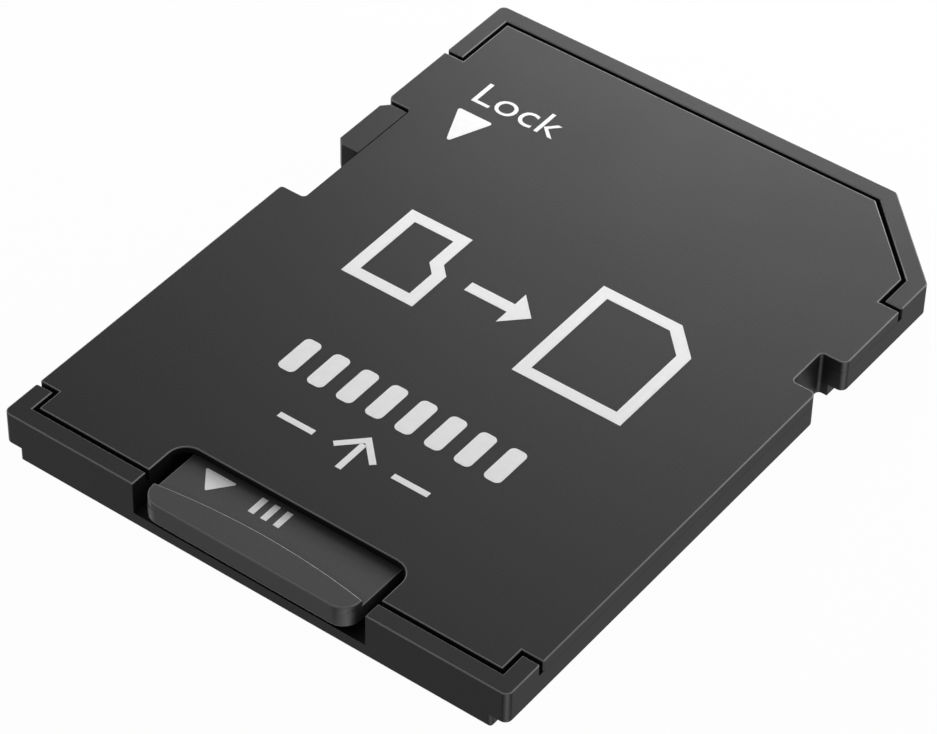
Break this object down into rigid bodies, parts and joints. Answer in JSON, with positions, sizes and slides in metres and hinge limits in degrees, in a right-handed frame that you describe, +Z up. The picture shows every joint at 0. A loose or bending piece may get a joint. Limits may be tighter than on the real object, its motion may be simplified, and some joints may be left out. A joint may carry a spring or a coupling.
{
  "type": "memory card adapter",
  "caption": "Flat adapter case with a cut corner and side notches, holding a small memory card in a slot at one end, with a lock slider in its edge and host pads underneath.",
  "frame": {"origin": "middle of the case's underside", "axes": "+X across the case to the side with the cut corner, +Y along the case from the small card's mouth to the host pads, +Z up from the underside to the cover"},
  "size_m": [0.024, 0.0323, 0.0021],
  "materials": {
    "shell": "fine matte moulded texture, black",
    "slider": "matte moulded, black",
    "card": "smooth satin moulded, dark grey",
    "carrier": "smooth moulded, black",
    "plating": "bright gold plating",
    "spring": "plain rolled spring steel"
  },
  "bodies": {
    "case": {"base_shell": "shell", "top_cover": "shell", "contact_carrier": "carrier", "retention_spring": "spring", "terminal_1": "plating", "terminal_2": "plating", "terminal_3": "plating", "terminal_4": "plating", "terminal_5": "plating", "terminal_6": "plating", "terminal_7": "plating", "terminal_8": "plating"},
    "slider": {"lock_slider": "slider"},
    "small_card": {"card_body": "card", "card_contact_1": "plating", "card_contact_2": "plating", "card_contact_3": "plating", "card_contact_4": "plating", "card_contact_5": "plating", "card_contact_6": "plating", "card_contact_7": "plating", "card_contact_8": "plating"}
  },
  "joints": [
    {"name": "lock_slide", "type": "slide", "parent": "case", "child": "slider", "axis": [0, -1, 0], "range_m": [0, 0.00333]},
    {"name": "card_slide", "type": "slide", "parent": "case", "child": "small_card", "axis": [0, -1, 0], "range_m": [0, 0.016]}
  ]
}
